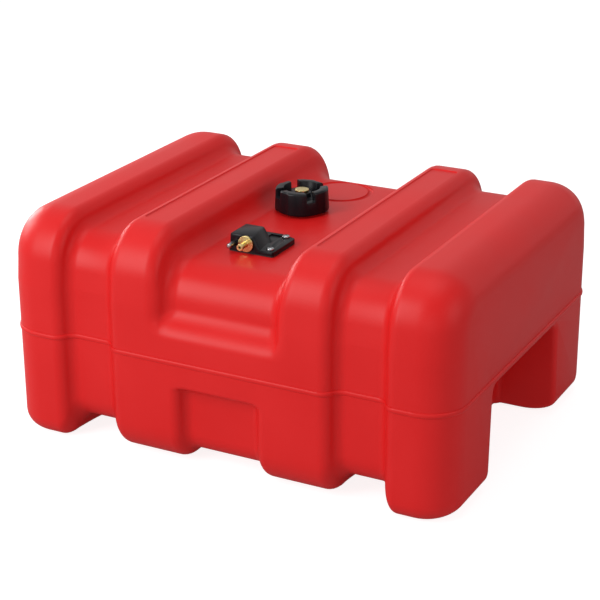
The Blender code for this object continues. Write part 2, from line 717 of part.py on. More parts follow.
def make_outlet_housing(material):
    housing = finish("outlet_housing", prism(flange_outline(), FLANGE_BASE, FLANGE_TOP), material)
    pocket_back = OUTLET_FRONT + FLANGE_DEPTH - POCKET_BEHIND
    pocket = prism(
        [
            (OUTLET_LEFT + POCKET_LEFT, OUTLET_FRONT + POCKET_FRONT),
            (OUTLET_LEFT + POCKET_RIGHT, OUTLET_FRONT + POCKET_FRONT),
            (OUTLET_LEFT + POCKET_RIGHT, pocket_back), (OUTLET_LEFT + POCKET_LEFT, pocket_back),
        ],
        FLANGE_TOP - POCKET_DEPTH, FLANGE_TOP + OVERRUN,
    )
    combine(housing, helper("flange_pocket", pocket), "DIFFERENCE")

    left = OUTLET_LEFT
    top_left = left + BLOCK_LEFT_DRAFT
    front = OUTLET_FRONT
    foot = [
        (left, front), (left + BLOCK_FOOT_WIDTH, front),
        (left + BLOCK_FOOT_WIDTH - BLOCK_BACK_TAPER, front + BLOCK_FOOT_DEPTH),
        (left, front + BLOCK_FOOT_DEPTH),
    ]
    head_taper = BLOCK_BACK_TAPER * BLOCK_TOP_DEPTH / BLOCK_FOOT_DEPTH
    head = [
        (top_left, front), (top_left + BLOCK_TOP_WIDTH, front),
        (top_left + BLOCK_TOP_WIDTH - head_taper, front + BLOCK_TOP_DEPTH),
        (top_left, front + BLOCK_TOP_DEPTH),
    ]
    low = FLANGE_BASE
    high = FLANGE_BASE + BLOCK_HEIGHT
    block = loft([[(x, y, z) for x, y in ring] for ring, z in ((foot, low), (head, high))])
    upper = [edge for edge in block.edges if max(vert.co.z for vert in edge.verts) > low + ROOT_OVERLAP]
    bmesh.ops.bevel(block, geom=upper, offset=BLOCK_BEVEL, segments=2, profile=ROUND_PROFILE, affect="EDGES")
    combine(housing, helper("outlet_block", block), "UNION")

    place = (NIPPLE_X, SPIGOT_Y)
    collar_low = FLANGE_BASE - COLLAR_DEPTH
    spigot = turned(
        [
            (0.0, FLANGE_BASE - SPIGOT_LENGTH), (SPIGOT_RADIUS, FLANGE_BASE - SPIGOT_LENGTH),
            (SPIGOT_RADIUS, collar_low), (COLLAR_RADIUS, collar_low),
            (COLLAR_RADIUS, FLANGE_BASE + ROOT_OVERLAP), (0.0, FLANGE_BASE + ROOT_OVERLAP),
        ],
        place, SMALL_STEPS,
    )
    combine(housing, helper("outlet_spigot", spigot), "UNION")

    passage = rod(SPIGOT_BORE, FLANGE_BASE - SPIGOT_LENGTH - OVERRUN, NIPPLE_Z, place)
    combine(housing, helper("outlet_passage", passage), "DIFFERENCE")
    shank_end = SHANK_LENGTH + DISC_SEAT_DEPTH
    bore = turned(
        [
            (0.0, -shank_end - CLEARANCE), (SHANK_RADIUS + CLEARANCE, -shank_end - CLEARANCE),
            (SHANK_RADIUS + CLEARANCE, -DISC_SEAT_DEPTH), (DISC_RADIUS + CLEARANCE, -DISC_SEAT_DEPTH),
            (DISC_RADIUS + CLEARANCE, OVERRUN), (0.0, OVERRUN),
        ],
        steps=SMALL_STEPS,
    )
    combine(housing, helper("outlet_bore", along_y(bore, (NIPPLE_X, OUTLET_FRONT, NIPPLE_Z))), "DIFFERENCE")
    pin_hole = rod(PIN_RADIUS + CLEARANCE, -PIN_INSIDE - CLEARANCE, OVERRUN, (0.0, 0.0))
    combine(housing, helper("outlet_pin_hole", along_y(pin_hole, (PIN_X, OUTLET_FRONT, PIN_Z))), "DIFFERENCE")
    holes = [
        rod(SCREW_RADIUS + CLEARANCE, FLANGE_BASE - OVERRUN, FLANGE_TOP + OVERRUN, spot)
        for spot in SCREW_PLACES.values()
    ]
    combine(housing, helper("outlet_screw_holes", join(*holes)), "DIFFERENCE")
    return housing


def make_flange_gasket(material):
    low = FLOOR + CLEARANCE
    high = low + FLANGE_GASKET
    gasket = finish("flange_gasket", prism(flange_outline(), low, high), material)
    holes = [
        rod(SCREW_RADIUS + CLEARANCE, low - OVERRUN, high + OVERRUN, spot) for spot in SCREW_PLACES.values()
    ]
    holes.append(rod(COLLAR_RADIUS + CLEARANCE, low - OVERRUN, high + OVERRUN, (NIPPLE_X, SPIGOT_Y)))
    combine(gasket, helper("gasket_holes", join(*holes)), "DIFFERENCE")


def make_connector(brass, rubber, steel):
    seat = DISC_SEAT_DEPTH - CLEARANCE
    face = DISC_THICKNESS - seat
    tip = face + NIPPLE_LENGTH
    collar = tip - NIPPLE_END_LENGTH
    ring = NIPPLE_GROOVE
    seal_in = -seat - SHANK_SEAL_WIDTH
    core = SHANK_RADIUS - SHANK_SEAL_DEPTH
    end = -SHANK_LENGTH - seat
    fitting = turned(
        [
            (NIPPLE_BORE, end), (SHANK_RADIUS, end), (SHANK_RADIUS, seal_in), (core, seal_in), (core, -seat),
            (DISC_RADIUS, -seat), (DISC_RADIUS, face - ring), (DISC_RADIUS - ring, face),
            (NIPPLE_RADIUS + ring, face), (NIPPLE_RADIUS, face + ring),
            (NIPPLE_RADIUS, collar - ring), (NIPPLE_END_RADIUS, collar), (NIPPLE_END_RADIUS, tip - ring),
            (NIPPLE_END_RADIUS - ring, tip), (NIPPLE_BORE, tip),
        ],
        steps=ROUND_STEPS,
    )
    place = (NIPPLE_X, OUTLET_FRONT, NIPPLE_Z)
    finish("fuel_nipple", along_y(fitting, place), brass)

    inner = core + CLEARANCE
    low = seal_in + CLEARANCE
    high = -seat - CLEARANCE
    seal = turned([(inner, low), (SHANK_RADIUS, low), (SHANK_RADIUS, high), (inner, high)], steps=SMALL_STEPS)
    finish("nipple_seal", along_y(seal, place), rubber)

    nose = PIN_RADIUS / 3
    pin = turned(
        [
            (0.0, -PIN_INSIDE), (PIN_RADIUS, -PIN_INSIDE), (PIN_RADIUS, PIN_OUTSIDE - nose - nose),
            (PIN_RADIUS - nose / 2, PIN_OUTSIDE - nose / 2), (PIN_RADIUS - nose, PIN_OUTSIDE),
            (0.0, PIN_OUTSIDE),
        ],
        steps=SMALL_STEPS,
    )
    finish("guide_pin", along_y(pin, (PIN_X, OUTLET_FRONT, PIN_Z)), steel)


def make_screws(steel, brass):
    seat = FLANGE_TOP + CLEARANCE
    tip = seat - SCREW_LENGTH
    crown = SCREW_HEAD_HEIGHT / 3
    for name, place in SCREW_PLACES.items():
        screw = turned(
            [
                (0.0, tip), (SCREW_RADIUS, tip), (SCREW_RADIUS, seat), (SCREW_HEAD_RADIUS, seat),
                (SCREW_HEAD_RADIUS, seat + crown), (SCREW_HEAD_RADIUS - crown, seat + crown + crown),
                (SCREW_RADIUS, seat + SCREW_HEAD_HEIGHT), (0.0, seat + SCREW_HEAD_HEIGHT),
            ],
            place, SMALL_STEPS,
        )
        finish(f"flange_screw_{name}", screw, steel)
        inner = SCREW_RADIUS + CLEARANCE
        insert = turned(
            [
                (inner, FLOOR - INSERT_HEIGHT), (INSERT_RADIUS, FLOOR - INSERT_HEIGHT),
                (INSERT_RADIUS, FLOOR), (inner, FLOOR),
            ],
            place, SMALL_STEPS,
        )
        finish(f"insert_{name}", insert, brass)


# Pickup


def make_pickup(plastic, strainer_plastic, mesh_steel):
    place = (NIPPLE_X, SPIGOT_Y)
    high = FLANGE_BASE - COLLAR_DEPTH - CLEARANCE
    tube = turned(
        [
            (TUBE_BORE, TUBE_ABOVE_BASE), (TUBE_RADIUS, TUBE_ABOVE_BASE), (TUBE_RADIUS, high),
            (TUBE_BORE, high),
        ],
        place, SMALL_STEPS,
    )
    finish("pickup_tube", tube, plastic)

    sleeve = TUBE_RADIUS + CLEARANCE
    sleeve_out = sleeve + STRAINER_WALL
    shoulder = TUBE_ABOVE_BASE - CLEARANCE
    top = TUBE_ABOVE_BASE + STRAINER_SLEEVE_GRIP
    base = shoulder - STRAINER_HEIGHT + STRAINER_WALL
    cage_bore = STRAINER_RADIUS - STRAINER_WALL
    cage = turned(
        [
            (0.0, base), (STRAINER_RADIUS, base), (STRAINER_RADIUS, shoulder),
            (sleeve_out, shoulder + STRAINER_WALL),
            (sleeve_out, top), (sleeve, top), (sleeve, shoulder), (TUBE_BORE, shoulder),
            (TUBE_BORE, shoulder - STRAINER_WALL), (cage_bore, shoulder - STRAINER_WALL),
            (cage_bore, base + STRAINER_WALL), (0.0, base + STRAINER_WALL),
        ],
        place,
    )
    strainer = finish("pickup_strainer", cage, strainer_plastic)
    slot_low = base + STRAINER_WALL + STRAINER_WALL
    for slot in range(STRAINER_SLOTS // 2):
        angle = math.tau * slot / STRAINER_SLOTS
        turn = Matrix.Rotation(angle, 4, "Z")
        half = STRAINER_SLOT_WIDTH / 2
        reach = STRAINER_RADIUS + OVERRUN
        outline = [turn @ Vector((out, aside, 0.0)) for out, aside in (
            (-reach, -half), (reach, -half), (reach, half), (-reach, half),
        )]
        box = prism(
            [(place[0] + point.x, place[1] + point.y) for point in outline],
            slot_low, slot_low + STRAINER_SLOT_HEIGHT,
        )
        combine(strainer, helper(f"strainer_slot_{slot + 1}", box), "DIFFERENCE")

    outer = cage_bore - CLEARANCE
    inner = outer - SCREEN_WALL
    low = base + STRAINER_WALL + CLEARANCE
    high = shoulder - STRAINER_WALL - CLEARANCE
    screen = turned([(inner, low), (outer, low), (outer, high), (inner, high)], place)
    finish("strainer_screen", screen, mesh_steel)


def main():
    for obj in list(bpy.data.objects):
        bpy.data.objects.remove(obj)
    red = make_material("red_polyethylene", (0.62, 0.02, 0.02), 0.40)
    black = make_material("black_plastic", (0.012, 0.011, 0.013), 0.38)
    brass = make_material("brass", (0.72, 0.48, 0.20), 0.30, 1.0)
    steel = make_material("stainless_steel", (0.60, 0.60, 0.60), 0.25, 1.0)
    rubber = make_material("black_rubber", (0.02, 0.02, 0.02), 0.70)
    natural = make_material("natural_plastic", (0.55, 0.53, 0.48), 0.45)
    make_tank(red)
    make_cap(black)
    make_cap_gasket(rubber)
    make_vent(brass, rubber, steel)
    make_outlet_housing(black)
    make_flange_gasket(rubber)
    make_connector(brass, rubber, steel)
    make_screws(steel, brass)
    make_pickup(natural, black, steel)


main()
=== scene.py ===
"""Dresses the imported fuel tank: a fine-lofted red body with its mouldings, threads, panels and fittings.
Metres, +Z up, -Y is the front, origin at the middle of the base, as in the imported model."""

import json
import math

import bmesh
import bpy
from mathutils import Matrix, Vector


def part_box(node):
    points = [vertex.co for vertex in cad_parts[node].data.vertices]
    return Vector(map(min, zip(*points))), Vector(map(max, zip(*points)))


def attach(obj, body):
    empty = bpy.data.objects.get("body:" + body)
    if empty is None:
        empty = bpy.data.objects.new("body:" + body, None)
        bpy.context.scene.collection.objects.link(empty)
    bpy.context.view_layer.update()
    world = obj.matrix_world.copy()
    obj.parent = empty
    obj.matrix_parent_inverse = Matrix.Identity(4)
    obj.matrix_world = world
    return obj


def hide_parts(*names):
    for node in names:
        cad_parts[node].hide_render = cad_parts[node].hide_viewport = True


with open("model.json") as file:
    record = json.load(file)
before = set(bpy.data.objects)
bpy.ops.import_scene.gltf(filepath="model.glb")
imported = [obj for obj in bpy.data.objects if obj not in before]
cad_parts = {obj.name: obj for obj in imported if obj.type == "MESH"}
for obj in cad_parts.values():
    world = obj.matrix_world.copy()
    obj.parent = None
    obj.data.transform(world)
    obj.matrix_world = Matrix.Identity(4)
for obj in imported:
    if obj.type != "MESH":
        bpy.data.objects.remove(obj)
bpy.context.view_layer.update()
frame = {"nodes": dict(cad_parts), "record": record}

# Tank body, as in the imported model
TANK_LENGTH = 0.600
TANK_WIDTH = 0.473
TANK_HEIGHT = 0.290
WALL = 0.005
PARTING_HEIGHT = 0.139
BEAD_WIDTH = 0.0062
BEAD_DEPTH = 0.0017
TOP_RADIUS = 0.062
FOOT_RADIUS = 0.048
END_LOBE_FOOT_RADIUS = 0.025
END_PLAN_RADIUS = 0.047
END_TOP_RADIUS = 0.038
END_FOOT_RADIUS = 0.020
FACE_DRAFT = 0.003
FLANK_WIDTH = 0.029
TOP_FLANK_ANGLE = math.radians(80.0)
FACE_FLANK_ANGLE = math.radians(62.0)
CENTRE_LOBE_WIDTH = 0.298
END_LOBE_WIDTH = 0.0825
GROOVE_TOP_DEPTH = 0.0245
GROOVE_FACE_DEPTH = 0.0180
GROOVE_FOOT_DEPTH = 0.023
GROOVE_TOP_RADIUS = 0.048
GROOVE_FOOT_RADIUS = 0.036
RECESS_TOP_WIDTH = 0.162
RECESS_TOP_FLANK = 0.036
RECESS_TOP_DEPTH = 0.040
RECESS_FACE_WIDTH = 0.156
RECESS_FACE_DEPTH = 0.022
RECESS_FACE_FLANK = 0.036
RECESS_RADIUS = 0.046
LEDGE_ABOVE_PARTING = 0.028
LEDGE_RISE = 0.035
LEDGE_ANGLE = math.radians(20.0)
NOTCH_WIDTH = 0.105
NOTCH_FLANK = 0.025
NOTCH_FACE_DEPTH = 0.0165
NOTCH_FOOT_DEPTH = 0.014
NOTCH_RADIUS = 0.030
NOTCH_TOP_BELOW_PARTING = 0.042
NOTCH_TOP_RISE = 0.014
FOOT_LAND = 0.006
FOOT_RUN = 0.055
HANDHOLD_WIDTH = 0.214
HANDHOLD_DEPTH = 0.076
HANDHOLD_BELOW_PARTING = 0.0095
HANDHOLD_CORNER = 0.014
HANDHOLD_FLANK = 0.014
HANDHOLD_EDGE_RADIUS = 0.006
LEG_EDGE_RADIUS = 0.008
LEG_DRAFT = 0.004
STATION_GAP = 0.0006
GROOVE_MIDDLE = (CENTRE_LOBE_WIDTH / 2 + TANK_LENGTH / 2 - END_LOBE_WIDTH) / 2
RECESS_FLOOR = TANK_HEIGHT - RECESS_TOP_DEPTH

# Bare sunk panel on top of each rib beside the recess
PANEL_INNER = 0.0980
PANEL_OUTER = 0.1350
PANEL_HALF_LENGTH = 0.1670
PANEL_CORNER = 0.004
PANEL_WALL = 0.0013
PANEL_DEPTH = 0.0014

# Round groove behind the cap
RING_PLACE = (-0.0190, 0.1350)
RING_RADIUS = 0.0395
RING_WIDTH = 0.0074
RING_DEPTH = 0.0032

# Neck, cap and vent
CAP_PLACE = (-0.0288, 0.042)
NECK_RADIUS = 0.0275
NECK_BORE = 0.0225
NECK_TOP = 0.2638
CAP_SKIRT_BORE = 0.0292
NECK_THREAD_PITCH = 0.0040
NECK_THREAD_REACH = 0.0011
NECK_THREAD_WIDTH = 0.0018
NECK_THREAD_EDGE = 0.0018
CAP_THREAD_RISE = 0.0032
VENT_HEAD_RADIUS = 0.0090
VENT_HEAD_HEIGHT = 0.0030
VENT_EDGE_ROUNDING = 0.0006
VENT_CLIP_LEVEL = 0.2616
VENT_CLIP_HEIGHT = 0.0016
VENT_CORE = 0.0026
VENT_CLIP_CORE = 0.0020
VENT_THREAD_PITCH = 0.00125

# Outlet's connector, screws and the holes under it
OUTLET_FRONT = -0.130
DISC_RADIUS = 0.0101
DISC_THICKNESS = 0.0030
DISC_SEAT = 0.0009
NIPPLE_RADIUS = 0.0036
NIPPLE_END_RADIUS = 0.0043
NIPPLE_END_LENGTH = 0.0032
NIPPLE_BORE = 0.0015
NIPPLE_EDGE = 0.0005
SHANK_RADIUS = 0.0060
SEAL_GROOVE_WIDTH = 0.0020
SEAL_GROOVE_DEPTH = 0.0014
PIN_RADIUS = 0.0031
SCREW_HEAD_RADIUS = 0.0047
SCREW_HEAD_HEIGHT = 0.0030
SCREW_HEAD_EDGE = 0.0009
SCREW_CORE = 0.0018
SCREW_THREAD_PITCH = 0.0008
SCREW_THREAD_WIDTH = 0.00048
SMALL_THREAD_REACH = 0.0004
CROSS_LENGTH = 0.0050
CROSS_WIDTH = 0.0010
CROSS_DEPTH = 0.0013
BOSS_RADIUS = 0.0080
BOSS_DEPTH = 0.0160
INSERT_HOLE_RADIUS = 0.0043
INSERT_HOLE_DEPTH = 0.0103
COLLAR_PLACE = (-0.0148, -0.104)
COLLAR_HOLE_RADIUS = 0.0128
SCREWS = ("flange_screw_front", "flange_screw_back", "flange_screw_left")

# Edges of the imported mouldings: how far they are softened, and the longest sliver merged away before
MOULDING_EDGE = 0.0005
MOULDING_EDGE_STEPS = 2
SLIVER = 0.0001

# Steps in each flank or corner of the body, round each turned piece and along each rounding
BODY_STEPS = 7
INSIDE_STEPS = 3
FINE_STEPS = 96
ROUND_STEPS = 48
THREAD_STEPS = 24
RING_STEPS = 24
BEAD_SIDES = 16
DOME_STEPS = 8
NOSE_STEPS = 6
EDGE_STEPS = 4

# Distance at which points are one, and the angles that are flat, softened or left as a crease
WELD = 0.000001
FLAT_ANGLE = math.radians(0.5)
SOFTENED_ANGLE = math.radians(30.0)
CREASE_ANGLE = math.radians(40.0)
SCREW_CREASE_ANGLE = math.radians(35.0)
MOULDING_CREASE_ANGLE = math.radians(50.0)

# Plastics and rubber: colour, darker colour, roughness, grain scale and grain depth
PLASTICS = {
    "red_polyethylene": ((0.67, 0.012, 0.012), (0.64, 0.009, 0.009), 0.41, 700.0, 0.00022),
    "black_plastic": ((0.0065, 0.0055, 0.0080), (0.0045, 0.0040, 0.0058), 0.33, 900.0, 0.00008),
    "black_rubber": ((0.020, 0.020, 0.020), (0.016, 0.016, 0.016), 0.70, 1200.0, 0.00005),
    "natural_plastic": ((0.55, 0.53, 0.48), (0.50, 0.48, 0.43), 0.45, 900.0, 0.00004),
}
SPECULAR_LEVELS = {"red_polyethylene": 0.24, "black_plastic": 0.19}

# Metals: colour, roughness and grain depth
METALS = {
    "brass": ((0.68, 0.53, 0.23), 0.27, 0.000015),
    "stainless_steel": ((0.36, 0.36, 0.37), 0.24, 0.00002),
}

# Slow waves and fine grain in the finishes, and how far roughness drifts with them
NOISE_LOW = 0.3
NOISE_HIGH = 0.7
WAVE_SCALE = 9.0
WAVE_DETAIL = 2.0
WAVE_STRENGTH = 0.5
WAVE_DEPTH = 0.0012
GRAIN_DETAIL = 3.0
GRAIN_STRENGTH = 0.6
PLASTIC_DRIFT = 0.03
METAL_GRAIN_SCALE = 1600.0
METAL_GRAIN_STRENGTH = 0.3
METAL_SMOOTHER = 0.03
METAL_ROUGHER = 0.04

# Plain number sockets of the random value node, and the seed of the screws' turns
CHANCE_HIGHEST = 3
CHANCE_RESULT = 1
SCREW_TURN_SEED = 4

# Studio: softboxes by place, size and power in watts, the world's light and the floor's own glow
SOFTBOXES = (
    ("key", (-1.10, -1.95, 1.35), (0.90, 1.70), 37.0),
    ("top", (0.0, 0.0, 2.4), (1.6, 1.6), 12.5),
    ("left", (-2.4, 0.05, 1.10), (0.6, 1.0), 17.0),
    ("left_back", (-2.2, 1.05, 0.60), (0.5, 0.9), 15.0),
    ("front", (0.9, -2.6, 0.9), (1.6, 1.2), 6.0),
    ("right", (2.4, -0.4, 1.1), (1.2, 1.2), 8.0),
)
WORLD_LIGHT = 0.36
WORLD_GLOSSY_SHARE = 0.45
FLOOR_GLOW = 0.86
FLOOR_GLOSSY_SHARE = 0.03
FLOOR_DIFFUSE_SHARE = 0.31
FLOOR_COLOUR = (0.35, 0.35, 0.35)
FLOOR_ROUGHNESS = 0.9
FLOOR_HALF_WIDTH = 8.0
FLOOR_LEVEL = -0.0005

# Camera: turns in degrees, place in tank lengths, lens and sensor in millimetres
CAMERA_YAW = 27.71
CAMERA_PITCH = 21.7524
CAMERA_ROLL = -0.3101
CAMERA_DISTANCE = 3.7147
CAMERA_ASIDE = -0.0153
CAMERA_ABOVE = 0.0017
CAMERA_LENS = 104.27
CAMERA_SENSOR = 36.0


def s_curve(share, angle):
    """Rounded slope from 0 to 1: two equal arcs, each of this angle, that meet halfway."""
    share = min(max(share, 0.0), 1.0)
    if share > 0.5:
        return 1.0 - s_curve(1.0 - share, angle)
    turn = math.asin(2.0 * share * math.sin(angle))
    return (1.0 - math.cos(turn)) / (2.0 * (1.0 - math.cos(angle)))


def s_curve_shares(steps):
    angle = TOP_FLANK_ANGLE
    half = [math.sin(angle * step / steps) / (2.0 * math.sin(angle)) for step in range(steps + 1)]
    return half + [1.0 - share for share in reversed(half[:-1])]


def flank(away, middle, width, angle):
    return s_curve((away - middle) / width + 0.5, angle)


def end_rounding(away, end, radius):
    past = min(max((away - end + radius) / radius, 0.0), 1.0)
    return 1.0 - math.sqrt(max(1.0 - past * past, 0.0))


def groove_share(away, inset, angle):
    inner = CENTRE_LOBE_WIDTH / 2 - inset
    outer = TANK_LENGTH / 2 - END_LOBE_WIDTH + inset
    return flank(away, inner, FLANK_WIDTH, angle) * (1.0 - flank(away, outer, FLANK_WIDTH, angle))


def panel_walls():
    """Distances from the middle at which a rib's sunk panel turns down or up."""
    inner = {PANEL_INNER, PANEL_INNER + PANEL_WALL, PANEL_INNER + PANEL_CORNER}
    return inner | {PANEL_OUTER - PANEL_CORNER, PANEL_OUTER - PANEL_WALL, PANEL_OUTER}


def panel_reach(away):
    """Half the panel's length here, shorter in its rounded corners."""
    edge = max(PANEL_CORNER - min(away - PANEL_INNER, PANEL_OUTER - away), 0.0)
    return PANEL_HALF_LENGTH - PANEL_CORNER + math.sqrt(max(PANEL_CORNER ** 2 - edge ** 2, 0.0))


def panel_drop(away):
    """How far the panel's floor lies below the rib's top here."""
    share = min(away - PANEL_INNER, PANEL_OUTER - away) / PANEL_WALL
    return PANEL_DEPTH * min(max(share, 0.0), 1.0)


def body_stations(inset, steps):
    """Distances along the length at which the body's section is drawn, close together on every flank."""
    end = TANK_LENGTH / 2 - inset
    flanks = (
        (CENTRE_LOBE_WIDTH / 2 - inset, FLANK_WIDTH),
        (TANK_LENGTH / 2 - END_LOBE_WIDTH + inset, FLANK_WIDTH),
        (RECESS_TOP_WIDTH / 2 + inset, RECESS_TOP_FLANK),
        (RECESS_FACE_WIDTH / 2 + inset, RECESS_FACE_FLANK),
        (NOTCH_WIDTH / 2 + inset, NOTCH_FLANK),
        (TANK_LENGTH / 2 - HANDHOLD_DEPTH - inset, HANDHOLD_FLANK),
    )
    places = {0.0}
    for middle, width in flanks:
        places |= {middle + width * (share - 0.5) for share in s_curve_shares(steps)}
    radius = END_PLAN_RADIUS - inset
    turns = [math.pi / 2 * step / (2 * steps) for step in range(2 * steps + 1)]
    places |= {end - radius + radius * math.sin(turn) for turn in turns}
    walls = panel_walls()
    places = {place for place in places if min(abs(place - wall) for wall in walls) > STATION_GAP}
    kept = []
    for place in sorted(places | walls):
        if not kept or place - kept[-1] > STATION_GAP:
            kept.append(place)
    kept[-1] = end
    return [-place for place in reversed(kept[1:])] + kept


def arc(centre, radius, start, stop, steps):
    turns = [start + (stop - start) * step / steps for step in range(steps + 1)]
    return [(centre[0] + radius * math.cos(turn), centre[1] + radius * math.sin(turn)) for turn in turns]


def half_section(x, inset, steps):
    """Outline of half the body at x, from the middle of the base out and up to the middle of the top."""
    away = abs(x)
    groove = groove_share(away, inset, TOP_FLANK_ANGLE)
    face_groove = groove_share(away, inset, FACE_FLANK_ANGLE)
    recess = 1.0 - flank(away, RECESS_TOP_WIDTH / 2 + inset, RECESS_TOP_FLANK, TOP_FLANK_ANGLE)
    face_recess = 1.0 - flank(away, RECESS_FACE_WIDTH / 2 + inset, RECESS_FACE_FLANK, FACE_FLANK_ANGLE)
    notch = 1.0 - flank(away, NOTCH_WIDTH / 2 + inset, NOTCH_FLANK, FACE_FLANK_ANGLE)
    handhold = flank(away, TANK_LENGTH / 2 - HANDHOLD_DEPTH - inset, HANDHOLD_FLANK, TOP_FLANK_ANGLE)
    end = TANK_LENGTH / 2 - inset
    plan = END_PLAN_RADIUS - inset
    drawn_in = end_rounding(away, end, plan)
    edge = end_rounding(away, end, HANDHOLD_EDGE_RADIUS)

    belt = TANK_WIDTH / 2 - inset - GROOVE_FACE_DEPTH * face_groove - plan * drawn_in
    upper = belt - RECESS_FACE_DEPTH * face_recess
    lower = belt - NOTCH_FACE_DEPTH * notch
    top_drop = (END_TOP_RADIUS - inset) * drawn_in
    foot_rise = (END_FOOT_RADIUS - inset) * drawn_in
    top = TANK_HEIGHT - inset - GROOVE_TOP_DEPTH * groove - RECESS_TOP_DEPTH * recess - top_drop
    base = inset + foot_rise
    foot = base + GROOVE_FOOT_DEPTH * groove + NOTCH_FOOT_DEPTH * notch
    top_radius = (
        TOP_RADIUS - (TOP_RADIUS - GROOVE_TOP_RADIUS) * groove - (TOP_RADIUS - RECESS_RADIUS) * recess
        - inset - top_drop
    )
    lobe_foot = FOOT_RADIUS if away < GROOVE_MIDDLE else END_LOBE_FOOT_RADIUS
    foot_radius = (
        lobe_foot - (lobe_foot - GROOVE_FOOT_RADIUS) * groove - (lobe_foot - NOTCH_RADIUS) * notch
        - inset - foot_rise
    )

    jamb = HANDHOLD_WIDTH / 2 + inset + HANDHOLD_EDGE_RADIUS * edge
    ceiling = PARTING_HEIGHT - HANDHOLD_BELOW_PARTING + inset + HANDHOLD_EDGE_RADIUS * edge
    sole = jamb + LEG_DRAFT
    corner = (jamb - HANDHOLD_CORNER, ceiling - HANDHOLD_CORNER)
    heel = (sole + LEG_EDGE_RADIUS, base + LEG_EDGE_RADIUS)
    arch = arc(corner, HANDHOLD_CORNER, math.pi / 2, 0.0, steps)
    arch += arc(heel, LEG_EDGE_RADIUS, math.pi, 1.5 * math.pi, steps)
    arch = [(out, base + (height - base) * handhold) for out, height in arch]
    points = [(0.0, base + (ceiling - base) * handhold)] + arch

    arc_start = lower - foot_radius
    run_start = max(arc_start - FOOT_LAND - FOOT_RUN, sole + LEG_EDGE_RADIUS + FOOT_LAND)
    points += [(run_start, base), (arc_start - FOOT_LAND, foot)]
    points += arc((arc_start, foot + foot_radius), foot_radius, -math.pi / 2, 0.0, 2 * steps)

    notch_base = PARTING_HEIGHT - NOTCH_TOP_BELOW_PARTING
    ledge_base = PARTING_HEIGHT + LEDGE_ABOVE_PARTING
    for share in s_curve_shares(steps):
        out = lower + (belt - lower) * s_curve(share, FACE_FLANK_ANGLE)
        points.append((out, notch_base + NOTCH_TOP_RISE * share))
    for share in s_curve_shares(steps):
        out = belt - (belt - upper) * s_curve(share, LEDGE_ANGLE)
        points.append((out, ledge_base + LEDGE_RISE * share))

    shoulder = upper - FACE_DRAFT * (1.0 - recess) - top_radius
    points += arc((shoulder, top - top_radius), top_radius, 0.0, math.pi / 2, 2 * steps)
    reach = min(panel_reach(away), shoulder - PANEL_WALL)
    floor = top if inset else top - panel_drop(away)
    return points + [(reach, top), (reach - PANEL_WALL, floor), (0.0, floor)]


def body_skin(inset, steps):
    bm = bmesh.new()
    rows = []
    for x in body_stations(inset, steps):
        half = half_section(x, inset, steps)
        ring = [(x, -out, height) for out, height in half]
        ring += [(x, out, height) for out, height in reversed(half[1:-1])]
        rows.append([bm.verts.new(point) for point in ring])
    for low, high in zip(rows, rows[1:]):
        for i in range(len(low)):
            bm.faces.new((low[i - 1], low[i], high[i], high[i - 1]))
    bm.faces.new(rows[0])
    bm.faces.new(rows[-1])
    bmesh.ops.recalc_face_normals(bm, faces=bm.faces)
    return bm


def belt_outline(steps):
    """Plan of the body at its parting line."""
    front = []
    for x in body_stations(0.0, steps):
        away = abs(x)
        drawn_in = end_rounding(away, TANK_LENGTH / 2, END_PLAN_RADIUS)
        groove = groove_share(away, 0.0, FACE_FLANK_ANGLE)
        front.append((x, -(TANK_WIDTH / 2 - GROOVE_FACE_DEPTH * groove - END_PLAN_RADIUS * drawn_in)))
    return front + [(x, -y) for x, y in reversed(front)]


# Objects


def add_object(name, bm, material):
    mesh = bpy.data.meshes.new(name)
    bm.to_mesh(mesh)
    bm.free()
    mesh.shade_smooth()
    mesh.set_sharp_from_angle(angle=CREASE_ANGLE)
    mesh.materials.append(material)
    obj = bpy.data.objects.new(name, mesh)
    bpy.context.scene.collection.objects.link(obj)
    return obj


def apply_modifiers(obj):
    graph = bpy.context.evaluated_depsgraph_get()
    mesh = bpy.data.meshes.new_from_object(obj.evaluated_get(graph))
    obj.modifiers.clear()
    obj.data = mesh


def cut(obj, cutter, operation="DIFFERENCE"):
    modifier = obj.modifiers.new("cut", "BOOLEAN")
    modifier.object = cutter
    modifier.operation = operation
    apply_modifiers(obj)
    bpy.data.objects.remove(cutter)


def turned(profile, place=(0.0, 0.0), steps=ROUND_STEPS):
    """Solid of revolution about a vertical axis from a closed outline of (radius, height)."""
    bm = bmesh.new()
    points = [bm.verts.new((radius, 0.0, height)) for radius, height in profile]
    edges = [bm.edges.new((points[i - 1], points[i])) for i in range(len(points))]
    bmesh.ops.spin(
        bm, geom=points + edges, axis=(0.0, 0.0, 1.0), cent=(0.0, 0.0, 0.0),
        angle=math.tau, steps=steps, use_merge=True,
    )
    bmesh.ops.remove_doubles(bm, verts=bm.verts, dist=WELD)
    bmesh.ops.delete(bm, geom=[edge for edge in bm.edges if not edge.link_faces], context="EDGES")
    bmesh.ops.dissolve_verts(bm, verts=[vert for vert in bm.verts if vert.co.xy.length < WELD])
    bmesh.ops.recalc_face_normals(bm, faces=bm.faces)
    bmesh.ops.translate(bm, verts=bm.verts, vec=(*place, 0.0))
    return bm


def rod(radius, low, high, place, steps=ROUND_STEPS):
    return turned([(0.0, low), (radius, low), (radius, high), (0.0, high)], place, steps)


def along_y(bm, place):
    """Lays a turned piece down so that its top points to the front."""
    bmesh.ops.rotate(bm, verts=bm.verts, matrix=Matrix.Rotation(math.pi / 2, 3, "X"))
    bmesh.ops.translate(bm, verts=bm.verts, vec=place)
    return bm


